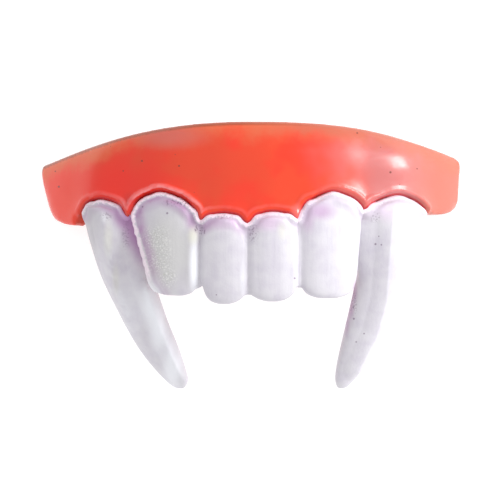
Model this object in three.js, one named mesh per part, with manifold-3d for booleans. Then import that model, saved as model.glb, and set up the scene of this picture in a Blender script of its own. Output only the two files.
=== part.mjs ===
// A costume vampire denture: a curved gum band that carries four incisors and two long fangs. It lies on
// its back. +X is the wide way, +Y points from the fang tips to the band's top edge, and +Z is the side
// that shows when it is worn. The band's trimmed ends and the fang tips rest on Z = 0. Lengths are in
// millimetres.
import * as THREE from "three";
import { mergeVertices } from "three/addons/utils/BufferGeometryUtils.js";
import Module from "manifold-3d";

// Overall sizes. The tooth line is the level of the gum points between the incisors.
const bandWidth = 65; // from end to end
const archDepth = 20; // from the resting plane up to the band's front
const gumRise = 14.9; // from the tooth line up to the middle of the band's top edge
const neckRise = 4.1; // from the tooth line up to the top of a broad incisor's neck
const incisorDrop = 12.5; // from the tooth line down to the biting edges
const fangDrop = 26.2; // from the tooth line down to the fang tips
const endFlap = 10; // plain gum beyond a fang, round the arc
const endCorner = 2.5;
const rootBulge = 0.8; // height of a root's swelling in the gum

// The band's own section: a front wall, a floor that the wearer bites on, and a low inner wall.
const frontWall = 2.6;
const rimThickness = 1.9;
const channelWidth = 7;
const innerWall = 2;
const floorThickness = 2;
const floorLift = 1.3; // underside of the floor above the tooth line
const innerRimShare = 0.55; // inner wall's height, as a share of the channel's depth
const channelFillet = 0.8;
const edgeRounding = 0.4;
const rimLean = 0.9; // how far the top rim rolls back
const rimLeanPower = 4;
const rimLeanFade = 8; // power by which the lean fades out towards the ends

// Where a tooth's neck sits in the band.
const seatDepth = 1.5; // ledge above the neck, front to back
const seatGap = 0.3; // clearance between a tooth and the band, and between neighbours
const marginProud = 0.3; // gum's edge in front of the band's plain face
const marginDrop = 0.05; // underside of the gum below its edge, where it hangs over the floor
const collarHeight = 0.7;
const collarReach = 1; // from the gum's edge to the collar's crest
const collarSoftness = 0.65;
const archRoundness = 0.75; // power of the gum's arch over a tooth
const rootSpread = 0.36; // a root's swelling, as a share of the neck's width

// Crowns, front to back of the band's plain face.
const incisorProud = 1.7;
const incisorBack = 2.9;
const fangProud = 2.4;
const fangBack = 3.8;
const fangTipRest = 0.1; // lowest point of a fang tip above the resting plane

// The two ends of the band, in shares. top is the top edge there, of gumRise, and margin the lower edge, of
// neckRise, both above the tooth line. topBend is the power of the top edge's curve. flap is the plain gum
// beyond the fang, of endFlap. The rest are shares of endCorner: slant is how far the end leans inwards going
// down, topCorner and lowCorner are the heights of its rounded corners, and lowRun is the lower one's width.
const endTable = [
  {
    top: 0.57, topBend: 2.25, margin: -0.22, flap: 1.05,
    slant: 0.92, topCorner: 0.12, lowCorner: 1.04, lowRun: 1.76,
  },
  {
    top: 0.635, topBend: 2.8, margin: 0.2, flap: 0.98,
    slant: 0.12, topCorner: 0.6, lowCorner: 0.96, lowRun: 1.44,
  },
];

// The teeth from left to right, in shares. neck is the width at the gum, of the whole row, and body the
// width lower down, of the neck. rise is the top of the neck above the tooth line, of neckRise, and drop the
// tip below it, of incisorDrop or fangDrop. taper sends the narrowing to one side, 1 being all away from the
// middle. bulge is the root's swelling in the gum, of rootBulge. aside is how far a fang's tip is carried
// towards the middle, of fangDrop, and bend the power of its curve.
const toothTable = [
  {
    name: "fang_left", kind: "fang", side: -1,
    neck: 0.165, body: 1.01, rise: 0.73, drop: 1, taper: 0, bulge: 0.6, aside: 0.095, bend: 1.2,
  },
  {
    name: "incisor_outer_left", kind: "incisor", side: -1,
    neck: 0.205, body: 0.724, rise: 1, drop: 0.95, taper: 0.75, bulge: 0.4,
  },
  {
    name: "incisor_inner_left", kind: "incisor", side: -1,
    neck: 0.118, body: 1, rise: 0.2, drop: 1.03, taper: 0, bulge: 0.12,
  },
  {
    name: "incisor_inner_right", kind: "incisor", side: 1,
    neck: 0.126, body: 1, rise: 0.26, drop: 1, taper: 0, bulge: 0.12,
  },
  {
    name: "incisor_outer_right", kind: "incisor", side: 1,
    neck: 0.183, body: 0.927, rise: 1.02, drop: 0.96, taper: 0.2, bulge: 0.4,
  },
  {
    name: "fang_right", kind: "fang", side: 1,
    neck: 0.203, body: 0.762, rise: 0.9, drop: 1, taper: 0, bulge: 1, aside: -0.023, bend: 1.45,
  },
];
// The gum's points between the teeth, from left to right, above the tooth line, as shares of neckRise.
const pointTable = [0.3, 0.012, -0.073, 0.012, 0.28];

// A crown's sections from the tooth line to the tip: down is a share of the drop, width of the body, and
// front and back of how far the crown stands out on each side of the band's plain face.
const crowns = {
  incisor: [
    { down: 0, width: 1, front: 0.78, back: 1 },
    { down: 0.2, width: 1, front: 0.98, back: 1 },
    { down: 0.45, width: 1, front: 1, back: 0.95 },
    { down: 0.68, width: 1, front: 0.94, back: 0.82 },
    { down: 0.82, width: 0.97, front: 0.84, back: 0.7 },
    { down: 0.9, width: 0.89, front: 0.72, back: 0.6 },
    { down: 0.955, width: 0.73, front: 0.56, back: 0.48 },
    { down: 0.985, width: 0.5, front: 0.38, back: 0.36 },
    { down: 1, width: 0.26, front: 0.2, back: 0.24 },
  ],
  fang: [
    { down: 0, width: 1, front: 0.8, back: 0.9 },
    { down: 0.1, width: 1, front: 0.98, back: 1 },
    { down: 0.22, width: 1, front: 1, back: 1 },
    { down: 0.36, width: 0.97, front: 0.97, back: 0.96 },
    { down: 0.5, width: 0.91, front: 0.9, back: 0.89 },
    { down: 0.64, width: 0.81, front: 0.78, back: 0.78 },
    { down: 0.76, width: 0.71, front: 0.66, back: 0.66 },
    { down: 0.86, width: 0.59, front: 0.54, back: 0.54 },
    { down: 0.94, width: 0.44, front: 0.4, back: 0.4 },
    { down: 0.985, width: 0.28, front: 0.25, back: 0.25 },
    { down: 1, width: 0.14, front: 0.12, back: 0.12 },
  ],
};
// flare is the power by which a neck's width passes into the body's; ridge and backRoundness are the powers
// of the rounded sections in front and behind, where 2 is an ellipse and less is sharper.
const kinds = {
  incisor: {
    length: incisorDrop, proud: incisorProud, back: incisorBack,
    flare: 1.2, ridge: 2.6, backRoundness: 3,
  },
  fang: {
    length: fangDrop, proud: fangProud, back: fangBack,
    flare: 5, ridge: 1.75, backRoundness: 2.3,
  },
};
// Rows of points up the gum's front face: the first ones as shares of collarReach above its edge, then
// evenly spaced.
const collarRows = [0.2, 0.55, 1, 1.5, 2.3];
const wallRows = 5;
const roundSteps = 4; // over the top of a wall
const cornerSteps = 5;
const ringSides = 20;
const domeRings = 5; // from a tooth's seat to the top of its neck
const domeTop = 0.04; // the last of them below the top
const domeTuck = 0.4; // how far the dome's back draws forward, as a share
const stationsPerTooth = 10;
const stationsPerEnd = 7;

// The band follows an arc through the two ends and the front.
const halfWidth = bandWidth / 2;
const archRadius = (halfWidth ** 2 + archDepth ** 2) / (2 * archDepth);
const archCentreZ = archDepth - archRadius;
const toothLineY = (fangDrop - gumRise) / 2;
const clamp = THREE.MathUtils.clamp;
const lerp = THREE.MathUtils.lerp;

// The point that lies along mm round the arc from the middle, out mm in front of it, and rise mm above the
// tooth line.
function onArch(along, out, rise) {
  const angle = along / archRadius;
  const reach = archRadius + out;
  return new THREE.Vector3(reach * Math.sin(angle), toothLineY + rise, archCentreZ + reach * Math.cos(angle));
}

// The tables' shares as lengths. The row of teeth fills the arc between the two plain ends, and each neck
// begins where the last one stops.
const ends = endTable.map((end, i) => ({
  side: i ? 1 : -1,
  top: end.top * gumRise,
  topBend: end.topBend,
  margin: end.margin * neckRise,
  flap: end.flap * endFlap,
  slant: end.slant * endCorner,
  topCorner: end.topCorner * endCorner,
  lowCorner: end.lowCorner * endCorner,
  lowRun: end.lowRun * endCorner,
}));
const arcReach = archRadius * Math.asin(halfWidth / archRadius);
const toothRow = ends.map(({ side, flap }) => side * (arcReach - flap));
const points = [ends[0].margin, ...pointTable.map((point) => point * neckRise), ends[1].margin];
const rowLength = toothRow[1] - toothRow[0];
const teeth = toothTable.map((tooth, i) => {
  const neck = tooth.neck * rowLength;
  const before = toothTable.slice(0, i).reduce((sum, other) => sum + other.neck, 0);
  return {
    ...tooth,
    neck,
    centre: toothRow[0] + before * rowLength + neck / 2,
    body: tooth.body * neck,
    rise: tooth.rise * neckRise,
    drop: tooth.drop * kinds[tooth.kind].length,
    bulge: tooth.bulge * rootBulge,
    aside: (tooth.aside ?? 0) * fangDrop,
    points: [points[i], points[i + 1]],
  };
});

// Lower edge of the gum, above the tooth line: an arch over each tooth, and the plain margin beyond the
// fangs.
function marginAt(along) {
  if (along <= toothRow[0]) return ends[0].margin;
  if (along >= toothRow[1]) return ends[1].margin;
  const tooth = teeth.find((t) => along <= t.centre + t.neck / 2) ?? teeth[teeth.length - 1];
  const share = (along - tooth.centre) / (tooth.neck / 2);
  const low = tooth.points[share < 0 ? 0 : 1];
  return low + (tooth.rise - low) * Math.max(0, 1 - share ** 2) ** archRoundness;
}

// How far a place on the band is from the middle, across it: 1 at an end.
function acrossShare(along) {
  return Math.min(1, Math.abs(Math.sin(along / archRadius)) * (archRadius / halfWidth));
}

// Top edge of the band, above the tooth line.
function topAt(along) {
  const end = ends[along < 0 ? 0 : 1];
  return gumRise - (gumRise - end.top) * acrossShare(along) ** end.topBend;
}

// How far the gum's front face stands out: a collar round the teeth, a swelling over each root, and a
// rolled rim.
function gumFace(along, rise) {
  const margin = marginAt(along);
  const above = rise - margin;
  const height = clamp(above / (topAt(along) - margin), 0, 1);
  const beyond = Math.max(toothRow[0] - along, along - toothRow[1], 0);
  const nearTeeth = Math.exp(-((beyond / collarReach) ** 2));
  const collar = collarHeight * nearTeeth * Math.exp(-(((above - collarReach) / collarSoftness) ** 2));
  const roots = teeth.map((t) => t.bulge * Math.exp(-(((along - t.centre) / (rootSpread * t.neck)) ** 2)));
  const swelling = roots.reduce((sum, root) => sum + root, 0) * Math.sin(Math.PI * height);
  const lean = rimLean * (1 - acrossShare(along) ** rimLeanFade) * height ** rimLeanPower;
  return marginProud * (1 - height) + collar + swelling - lean;
}

// The rounded top of a wall, from its front face to its back, as points [out, rise].
function roundedTop(front, base, radius) {
  return Array.from({ length: roundSteps }, (_, step) => {
    const angle = (Math.PI * (step + 1)) / roundSteps;
    return [front - radius * (1 - Math.cos(angle)), base + radius * Math.sin(angle)];
  });
}

// Section of the band at a place along it, as points [out, rise], anticlockwise.
function bandSection(along) {
  const margin = marginAt(along);
  const top = topAt(along);
  const face = (above) => [gumFace(along, margin + above), margin + above];
  const underside = Math.min(margin - marginDrop, floorLift);
  const floorTop = floorLift + floorThickness;
  const channelFront = -frontWall;
  const channelBack = channelFront - channelWidth;
  const back = channelBack - innerWall;
  const rimRadius = rimThickness / 2;
  const rimBase = top - rimRadius;
  const innerRadius = innerWall / 2;
  const innerTop = floorTop + innerRimShare * (top - floorTop) - innerRadius;
  const lastCollarRow = collarRows[collarRows.length - 1] * collarReach;
  const section = [
    [-seatDepth, underside],
    [-seatDepth, margin],
    [gumFace(along, margin) - edgeRounding / 2, margin],
  ];
  for (const row of collarRows) section.push(face(row * collarReach));
  for (let row = 1; row <= wallRows; row++) {
    section.push(face(lerp(lastCollarRow, rimBase - margin, row / wallRows)));
  }
  section.push(...roundedTop(gumFace(along, top), rimBase, rimRadius));
  section.push([channelFront, (floorTop + top) / 2], [channelFront, floorTop + channelFillet]);
  section.push([channelFront - channelFillet, floorTop], [channelBack + channelFillet, floorTop]);
  section.push([channelBack, floorTop + channelFillet], [channelBack, innerTop]);
  section.push(...roundedTop(channelBack, innerTop, innerRadius));
  section.push([back, floorTop], [back, floorLift + edgeRounding], [back + edgeRounding, floorLift]);
  section.push([channelBack, floorLift], [channelFront, floorLift], [channelFront + edgeRounding, underside]);
  return section;
}

// A closed body through sections that have the same number of points. place puts a section's point in
// space.
function loft(sections, place) {
  const count = sections[0].length;
  const vertices = sections.flatMap((section, i) => section.flatMap((point) => place(i, point).toArray()));
  const faces = [];
  for (let i = 0; i + 1 < sections.length; i++)
    for (let k = 0; k < count; k++) {
      const next = (k + 1) % count;
      const [a, b] = [i * count + k, i * count + next];
      faces.push(a, a + count, b, b, a + count, b + count);
    }
  const last = sections.length - 1;
  for (const [i, order] of [[0, [0, 1, 2]], [last, [0, 2, 1]]]) {
    const outline = sections[i].map(([u, v]) => new THREE.Vector2(u, v));
    for (const face of THREE.ShapeUtils.triangulateShape(outline, []))
      faces.push(...order.map((corner) => i * count + face[corner]));
  }
  const geometry = new THREE.BufferGeometry();
  geometry.setAttribute("position", new THREE.Float32BufferAttribute(vertices, 3));
  geometry.setIndex(faces);
  return geometry;
}

// Places along the band where its section is worked out: each tooth's width, and each end to past the
// resting plane.
function stations() {
  const places = [];
  const reach = archRadius * Math.acos(clamp(-archCentreZ / archRadius, -1, 1)) + 2 * frontWall;
  for (let i = 0; i < stationsPerEnd; i++) places.push(lerp(-reach, toothRow[0], i / stationsPerEnd));
  for (const tooth of teeth)
    for (let i = 0; i < stationsPerTooth; i++)
      places.push(tooth.centre - (tooth.neck / 2) * Math.cos((Math.PI * i) / stationsPerTooth));
  for (let i = 0; i <= stationsPerEnd; i++) places.push(lerp(toothRow[1], reach, i / stationsPerEnd));
  return places;
}

// One end of the band seen from the front, from below it to above it.
function endContour({ side, top, margin, slant, topCorner, lowCorner, lowRun }) {
  const far = gumRise + fangDrop;
  const at = (inset, rise) => new THREE.Vector2(side * (halfWidth - inset), toothLineY + rise);
  const rounded = (from, through, to) =>
    new THREE.QuadraticBezierCurve(from, through, to).getPoints(cornerSteps);
  const shoulder = top - rimThickness / 2;
  const sideAt = (rise) => at((slant * Math.max(0, shoulder - rise)) / (shoulder - margin), rise);
  return [
    at(slant + lowRun, -far),
    ...rounded(at(slant + lowRun, margin), sideAt(margin), sideAt(margin + lowCorner)),
    ...rounded(sideAt(top - topCorner), at(0, top), at(topCorner, top + topCorner)),
    at(topCorner, far),
  ];
}

// What is kept of the swept band: all of it between its two end contours and above the resting plane.
function trimBlock() {
  const [left, right] = ends.map(endContour);
  const outline = new THREE.Shape([...right, ...left.reverse()]);
  return new THREE.ExtrudeGeometry(outline, { depth: 2 * archDepth, bevelEnabled: false });
}

// Half of a tooth's width on one side of its centre, at a height above the tooth line where the gum arches
// over it.
function neckHalfWidth(tooth, side, rise) {
  const low = tooth.points[side < 0 ? 0 : 1];
  const climbed = clamp((rise + seatGap - low) / (tooth.rise - low), 0, 1);
  const inset = (seatGap / 2) * (1 + Math.min(1, 4 * climbed));
  const share = Math.sqrt(1 - climbed ** (1 / archRoundness));
  return Math.max((tooth.neck / 2) * share - inset, seatGap / 2);
}

// A tooth's cross-sections from the tip up to the top of its neck. Each has its height above the tooth
// line, its reach to either side of the tooth's centre, and how far it stands out in front of the band's
// plain face and behind it.
function toothRings(tooth) {
  const { proud, back, flare } = kinds[tooth.kind];
  const rows = crowns[tooth.kind];
  const rings = rows.toReversed().map((row) => {
    const flared = (tooth.neck - tooth.body) * (1 - row.down) ** flare;
    const full = tooth.body * row.width + flared - seatGap;
    const shift = -tooth.side * tooth.taper * ((tooth.neck - seatGap - full) / 2);
    return {
      down: row.down,
      rise: -row.down * tooth.drop,
      reach: [full / 2 - shift, full / 2 + shift],
      front: row.front * proud,
      back: row.back * back,
    };
  });
  const top = tooth.rise - seatGap;
  const seat = floorLift - seatGap;
  const seated = top > seat;
  const lowest = seated ? seat : 0;
  const line = rings[rings.length - 1];
  for (let i = seated ? 0 : 1; i < domeRings; i++) {
    const climb = i / (domeRings - 1);
    const rise = lerp(lowest, top - domeTop, climb);
    const front = lerp(line.front, marginProud, climb ** 2);
    const behind = (seated ? seatDepth - seatGap : line.back) * (1 - domeTuck * climb ** 3);
    rings.push({ down: 0, rise, reach: [tooth.neck / 2, tooth.neck / 2], front, back: behind });
  }
  for (const ring of rings)
    ring.reach = ring.reach.map((reach, i) => Math.min(reach, neckHalfWidth(tooth, i ? 1 : -1, ring.rise)));
  return rings;
}

// The outline of a tooth's ring, as points [along from the tooth's centre, out], anticlockwise: rounder or
// sharper in front than behind.
function ringOutline(tooth, { reach, front, back }) {
  const { ridge, backRoundness } = kinds[tooth.kind];
  const middle = (front - back) / 2;
  const half = (front + back) / 2;
  const rounded = (value, power) => Math.sign(value) * Math.abs(value) ** (2 / power);
  return Array.from({ length: ringSides }, (_, k) => {
    const turn = (2 * Math.PI * (k + 0.5)) / ringSides;
    const power = Math.sin(turn) > 0 ? ridge : backRoundness;
    const side = Math.cos(turn) < 0 ? 0 : 1;
    return [reach[side] * rounded(Math.cos(turn), power), middle + half * rounded(Math.sin(turn), power)];
  });
}

// A tooth bent round the band's arc. A fang is also carried back and aside so that its tip comes to rest.
function toothGeometry(tooth) {
  const rings = toothRings(tooth);
  const outlines = rings.map((ring) => ringOutline(tooth, ring));
  const upright = (i, [along, out]) => onArch(tooth.centre + along, out, rings[i].rise);
  if (tooth.kind !== "fang") return loft(outlines, upright);
  const angle = tooth.centre / archRadius;
  const inwards = new THREE.Vector3(-Math.sin(angle), 0, -Math.cos(angle));
  const aside = new THREE.Vector3(Math.cos(angle), 0, -Math.sin(angle));
  aside.multiplyScalar(-tooth.side * tooth.aside);
  const room = rings.flatMap(({ down }, i) => {
    if (down === 0) return [];
    const lowest = Math.min(...outlines[i].map((point) => upright(i, point).z));
    const carried = down ** tooth.bend;
    return [(lowest + aside.z * carried - fangTipRest) / (-inwards.z * carried)];
  });
  const lean = inwards.multiplyScalar(Math.min(...room)).add(aside);
  return loft(outlines, (i, point) => upright(i, point).addScaledVector(lean, rings[i].down ** tooth.bend));
}

const wasm = await Module();
wasm.setup();

function toSolid(geometry) {
  const bare = new THREE.BufferGeometry().setAttribute("position", geometry.getAttribute("position"));
  bare.setIndex(geometry.index);
  const merged = mergeVertices(bare, 1e-4);
  const vertProperties = merged.attributes.position.array;
  const triVerts = new Uint32Array(merged.index.array);
  return new wasm.Manifold(new wasm.Mesh({ numProp: 3, vertProperties, triVerts }));
}

function toGeometry(solid) {
  const mesh = solid.getMesh();
  const geometry = new THREE.BufferGeometry();
  geometry.setAttribute("position", new THREE.Float32BufferAttribute(mesh.vertProperties, 3));
  geometry.setIndex(Array.from(mesh.triVerts));
  return geometry;
}

function gumGeometry() {
  const places = stations();
  const sweep = loft(places.map(bandSection), (i, [out, rise]) => onArch(places[i], out, rise));
  return toGeometry(toSolid(sweep).intersect(toSolid(trimBlock())));
}

const gumRubber = new THREE.MeshStandardMaterial({ color: 0xf0604a, roughness: 0.4, metalness: 0 });
const pearlPaint = new THREE.MeshStandardMaterial({ color: 0xe4e0ea, roughness: 0.35, metalness: 0 });

const denture = new THREE.Group();
const gum = new THREE.Mesh(gumGeometry(), gumRubber);
gum.name = "gum_band";
denture.add(gum);
for (const tooth of teeth) {
  const mesh = new THREE.Mesh(toothGeometry(tooth), pearlPaint);
  mesh.name = tooth.name;
  denture.add(mesh);
}

export default denture;
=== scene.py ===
# %% [markdown]
# A costume vampire denture, lying on a white table with its front up.
#
# The real thing is one soft casting: an orange-red gum band with a trough behind it for the wearer's teeth,
# and a row of teeth painted in pearl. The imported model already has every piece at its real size. This lesson
# takes a copy of each piece, rounds it, models the soft forms that the mould gave it, and paints it.

# %% Load the frame
import math

import bpy
import numpy as np
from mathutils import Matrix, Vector, noise
from mathutils.bvhtree import BVHTree
from mathutils.kdtree import KDTree


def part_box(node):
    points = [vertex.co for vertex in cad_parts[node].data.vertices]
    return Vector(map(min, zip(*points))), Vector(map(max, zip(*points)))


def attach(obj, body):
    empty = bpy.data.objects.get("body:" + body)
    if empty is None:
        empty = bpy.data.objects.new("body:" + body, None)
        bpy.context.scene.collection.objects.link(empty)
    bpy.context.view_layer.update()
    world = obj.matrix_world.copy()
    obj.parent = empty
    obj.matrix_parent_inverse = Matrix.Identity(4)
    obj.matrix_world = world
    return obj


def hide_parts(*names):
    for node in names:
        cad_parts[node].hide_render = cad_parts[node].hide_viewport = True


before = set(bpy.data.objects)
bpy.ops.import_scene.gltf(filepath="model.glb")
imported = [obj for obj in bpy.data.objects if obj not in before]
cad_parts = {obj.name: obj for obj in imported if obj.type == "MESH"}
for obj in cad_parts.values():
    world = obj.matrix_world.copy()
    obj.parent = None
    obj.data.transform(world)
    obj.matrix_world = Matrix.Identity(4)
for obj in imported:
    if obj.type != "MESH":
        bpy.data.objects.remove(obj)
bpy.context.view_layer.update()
scene = bpy.context.scene
MM = 0.001
print("frame nodes:", sorted(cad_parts))

# %% [markdown]
# The denture follows an arch, as a jaw does. Its pieces are placed by their angle round the arch's axis,
# which runs along Y below the table. The band's width comes from the frame, its depth is the height of the
# front wall above the table, and the two together give the radius.

# %% The arch
arch_depth = 20 * MM
band_low, band_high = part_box("gum_band")
half_width = (band_high.x - band_low.x) / 2
arch_radius = (half_width**2 + arch_depth**2) / (2 * arch_depth)
arch_axis_z = arch_depth - arch_radius
print(f"arch radius {arch_radius / MM:.1f} mm")

# %% [markdown]
# The photograph looks straight down on the denture, from far enough away to be nearly free of perspective.
# The camera hangs over it with its top towards the gum's edge, and a long lens frames a field a little
# wider than the band.

# %% The camera
camera_height = 800 * MM
field_width = 77.95 * MM
aim_y = 1.0 * MM
bpy.ops.object.camera_add(location=(0, aim_y, camera_height), rotation=(0, 0, 0))
camera = bpy.context.active_object
camera.name = "camera"
camera.data.lens = camera.data.sensor_width * camera_height / field_width
camera.data.clip_start = 10 * MM
camera.data.clip_end = 10
scene.camera = camera
print(f"lens {camera.data.lens:.0f} mm")

# %% [markdown]
# The table is a plain white sheet that glows a little, so that the denture's shadows are lost in it, as they
# are in a product photograph. Its grey keeps it from throwing too much light back up at the gum.

# %% The table
table_size = 1.2
table_grey = 0.5
table_glow = 0.72
bpy.ops.mesh.primitive_plane_add(size=table_size, location=(0, 0, 0))
table = bpy.context.active_object
table.name = "table"
table_paint = bpy.data.materials.new("table_paint")
table_paint.use_nodes = True
table_shader = table_paint.node_tree.nodes["Principled BSDF"]
table_shader.inputs["Base Color"].default_value = (table_grey, table_grey, table_grey, 1)
table_shader.inputs["Roughness"].default_value = 0.9
table_shader.inputs["Specular IOR Level"].default_value = 0.1
table_shader.inputs["Emission Color"].default_value = (1, 1, 1, 1)
table_shader.inputs["Emission Strength"].default_value = table_glow
table.data.materials.append(table_paint)
print("table:", table.name)

# %% [markdown]
# The world is a white tent that fills the shadows. The key lamp, high at the right, models the teeth: their
# right sides burn out to white and their left sides stay lavender. It is hidden from reflections, because the
# glossy gum shows only one highlight, and that one belongs to the side lamp, low at the right. The glint lamp
# stands in the same place and is larger. It shows in reflections only, so it widens and brightens the
# highlight and adds no other light.

# %% The lights
world_light = 0.86
world = bpy.data.worlds.new("studio")
world.use_nodes = True
world.node_tree.nodes["Background"].inputs["Color"].default_value = (1, 1, 1, 1)
world.node_tree.nodes["Background"].inputs["Strength"].default_value = world_light
scene.world = world
scene.view_settings.view_transform = "Standard"


def lamp(name, place, size, watts):
    bpy.ops.object.light_add(type="AREA", location=place)
    light = bpy.context.active_object
    light.name = name
    light.data.shape = "SQUARE"
    light.data.size = size
    light.data.energy = watts
    light.rotation_euler = (-Vector(place)).to_track_quat("-Z", "Y").to_euler()
    return light


key = lamp("key", place=(0.33, 0.10, 0.26), size=0.20, watts=0.98)
key.visible_glossy = False
side = lamp("side", place=(0.42, 0.12, 0.11), size=0.17, watts=1.0)
glint = lamp("glint", place=(0.43, 0.125, 0.12), size=0.25, watts=0.7)
glint.visible_diffuse = False
print("lights:", [key.name, side.name, glint.name])

# %% [markdown]
# Every piece starts as a copy of its node in the frame. The node's mesh is loose triangles, so the copy is
# merged, and its triangles are paired into four-sided faces. A Subdivision Surface modifier rounds it. It
# could be modelled on from there, but its long faces would not take fine forms. So a voxel remesh gives it
# small even faces, as clay has, which can be sculpted anywhere.

# %% Helpers for modelling
merge_distance = 0.001 * MM


def select_only(*pieces):
    bpy.ops.object.select_all(action="DESELECT")
    for piece in pieces:
        piece.select_set(True)
    bpy.context.view_layer.objects.active = pieces[0]


def apply_modifiers(piece):
    select_only(piece)
    for modifier in list(piece.modifiers):
        bpy.ops.object.modifier_apply(modifier=modifier.name)


def copy_of(node, name, levels=2):
    select_only(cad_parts[node])
    bpy.ops.object.duplicate()
    piece = bpy.context.active_object
    piece.name = name
    piece.parent = None
    for key_name in list(piece.keys()):
        if key_name.startswith("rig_"):
            del piece[key_name]
    piece.data.materials.clear()
    bpy.ops.mesh.customdata_custom_splitnormals_clear()
    bpy.ops.object.mode_set(mode="EDIT")
    bpy.ops.mesh.select_all(action="SELECT")
    bpy.ops.mesh.remove_doubles(threshold=merge_distance)
    bpy.ops.mesh.mark_sharp(clear=True)
    bpy.ops.mesh.tris_convert_to_quads(face_threshold=math.pi, shape_threshold=math.pi)
    bpy.ops.object.mode_set(mode="OBJECT")
    modifier = piece.modifiers.new("Roundness", "SUBSURF")
    modifier.levels = levels
    modifier.render_levels = levels
    apply_modifiers(piece)
    return piece


def cast(name, voxel, *pieces):
    select_only(*pieces)
    if len(pieces) > 1:
        bpy.ops.object.join()
    body = bpy.context.active_object
    body.name = name
    remesh = body.modifiers.new("Even faces", "REMESH")
    remesh.mode = "VOXEL"
    remesh.voxel_size = voxel
    remesh.use_smooth_shade = True
    apply_modifiers(body)
    return body


def soften(piece, passes, group=""):
    modifier = piece.modifiers.new("Soften", "SMOOTH")
    modifier.factor = 0.5
    modifier.iterations = passes
    modifier.vertex_group = group
    apply_modifiers(piece)


def triangles(piece):
    return sum(len(face.vertices) - 2 for face in piece.data.polygons)


print("modelling helpers ready")

# %% [markdown]
# The soft forms are sculpted in code. A brush would be quicker by hand, but a move written down can be read,
# measured and repeated. Each one reads the places and normals of all the vertices at once, works out how far
# each vertex goes, and writes the new places back. Smoothing and rounding shrink a piece a little, and fit_to
# stretches it back to the box of its node.

# %% Helpers for sculpting


def places(piece):
    flat = np.zeros(len(piece.data.vertices) * 3)
    piece.data.vertices.foreach_get("co", flat)
    return flat.reshape(-1, 3)


def normals(piece):
    flat = np.zeros(len(piece.data.vertices) * 3)
    piece.data.vertices.foreach_get("normal", flat)
    return flat.reshape(-1, 3)


def put(piece, points):
    piece.data.vertices.foreach_set("co", points.ravel())
    piece.data.update()


def push(piece, lift):
    put(piece, places(piece) + normals(piece) * lift[:, None])


def fit_to(piece, *nodes):
    low = np.min([list(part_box(node)[0]) for node in nodes], axis=0)
    high = np.max([list(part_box(node)[1]) for node in nodes], axis=0)
    points = places(piece)
    own_low, own_high = points.min(axis=0), points.max(axis=0)
    put(piece, low + (points - own_low) / (own_high - own_low) * (high - low))


def hump(distance, width):
    return np.exp(-((distance / width) ** 2))


def step(value, low, high):
    share = np.clip((value - low) / (high - low), 0, 1)
    return share * share * (3 - 2 * share)


def surface_of(*pieces):
    vertices = []
    faces = []
    for piece in pieces:
        start = len(vertices)
        vertices += [vertex.co.copy() for vertex in piece.data.vertices]
        faces += [[start + corner for corner in face.vertices] for face in piece.data.polygons]
    return BVHTree.FromPolygons(vertices, faces)


def distance_to(tree, points):
    return np.array([tree.find_nearest(Vector(point))[3] for point in points])


def distance_to_line(points, line):
    nearest = np.full(len(points), np.inf)
    for start, end in zip(line, line[1:]):
        start = np.array(start) * MM
        along = np.array(end) * MM - start
        share = np.clip(((points[:, :2] - start) @ along) / (along @ along), 0, 1)
        gap = points[:, :2] - start - share[:, None] * along
        nearest = np.minimum(nearest, np.hypot(gap[:, 0], gap[:, 1]))
    return nearest


def keep_on_vertices(piece, name, values):
    attribute = piece.data.attributes.new(name, "FLOAT", "POINT")
    attribute.data.foreach_set("value", np.asarray(values, np.float32))


print("sculpting helpers ready")

# %% [markdown]
# The four incisors are fused to each other on the real casting, with rounded valleys between them. The
# copies are swollen by half a millimetre, until they run into each other, and remeshed into one body, which
# is shrunk by as much again. What was a narrow gap stays filled, and a small web closes the wider gap below
# the gum. The row is cut apart at the valleys later, so that each tooth stays a piece of its own.

# %% The incisor row
incisor_names = ["incisor_outer_left", "incisor_inner_left", "incisor_inner_right", "incisor_outer_right"]
tooth_voxel = 0.15 * MM
fuse_swell = 0.55 * MM
cast_passes = 4


def swell(piece, distance):
    modifier = piece.modifiers.new("Swell", "DISPLACE")
    modifier.strength = distance
    modifier.mid_level = 0
    apply_modifiers(piece)


def valley_angle(left, right):
    x = (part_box(left)[1].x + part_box(right)[0].x) / 2
    return math.asin(x / arch_radius)


web_size = (2.8 * MM, 4.6 * MM, 2.2 * MM)
web_height = 4.9 * MM
web_proud = 0.4 * MM
web_lean = math.radians(8)


def web(name, angle):
    reach = arch_radius + web_proud - web_size[2] / 2
    middle = (math.sin(angle) * reach, web_height, arch_axis_z + math.cos(angle) * reach)
    bpy.ops.object.select_all(action="DESELECT")
    bpy.ops.mesh.primitive_cube_add(size=1, location=middle, rotation=(-web_lean, angle, 0))
    block = bpy.context.active_object
    block.name = name
    block.scale = web_size
    bpy.ops.object.transform_apply(location=True, rotation=True, scale=True)
    return block


valleys = [valley_angle(left, right) for left, right in zip(incisor_names, incisor_names[1:])]
incisors = [copy_of(name, name + "_cast") for name in incisor_names]
for piece in incisors:
    swell(piece, fuse_swell)
webs = [web(f"web_{index}", angle) for index, angle in enumerate(valleys)]
row = cast("incisor_row", tooth_voxel, *incisors, *webs)
swell(row, -fuse_swell)
cast("incisor_row", tooth_voxel, row)
soften(row, cast_passes)
fit_to(row, *incisor_names)
print("incisor row triangles:", triangles(row))

# %% [markdown]
# The outlines of the crowns get their corrections as a sculptor's grab brush gives them: a soft round patch
# is taken hold of and moved a little. A hold is its place, how far it goes to the right and up, and its
# reach, all in millimetres.

# %% Grab the outline of the incisors


def grab(piece, holds):
    points = places(piece)
    start = points.copy()
    for x, y, right, up, reach in holds:
        held = hump(np.hypot(start[:, 0] / MM - x, start[:, 1] / MM - y), reach)
        points[:, 0] += right * MM * held
        points[:, 1] += up * MM * held
    put(piece, points)


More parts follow.
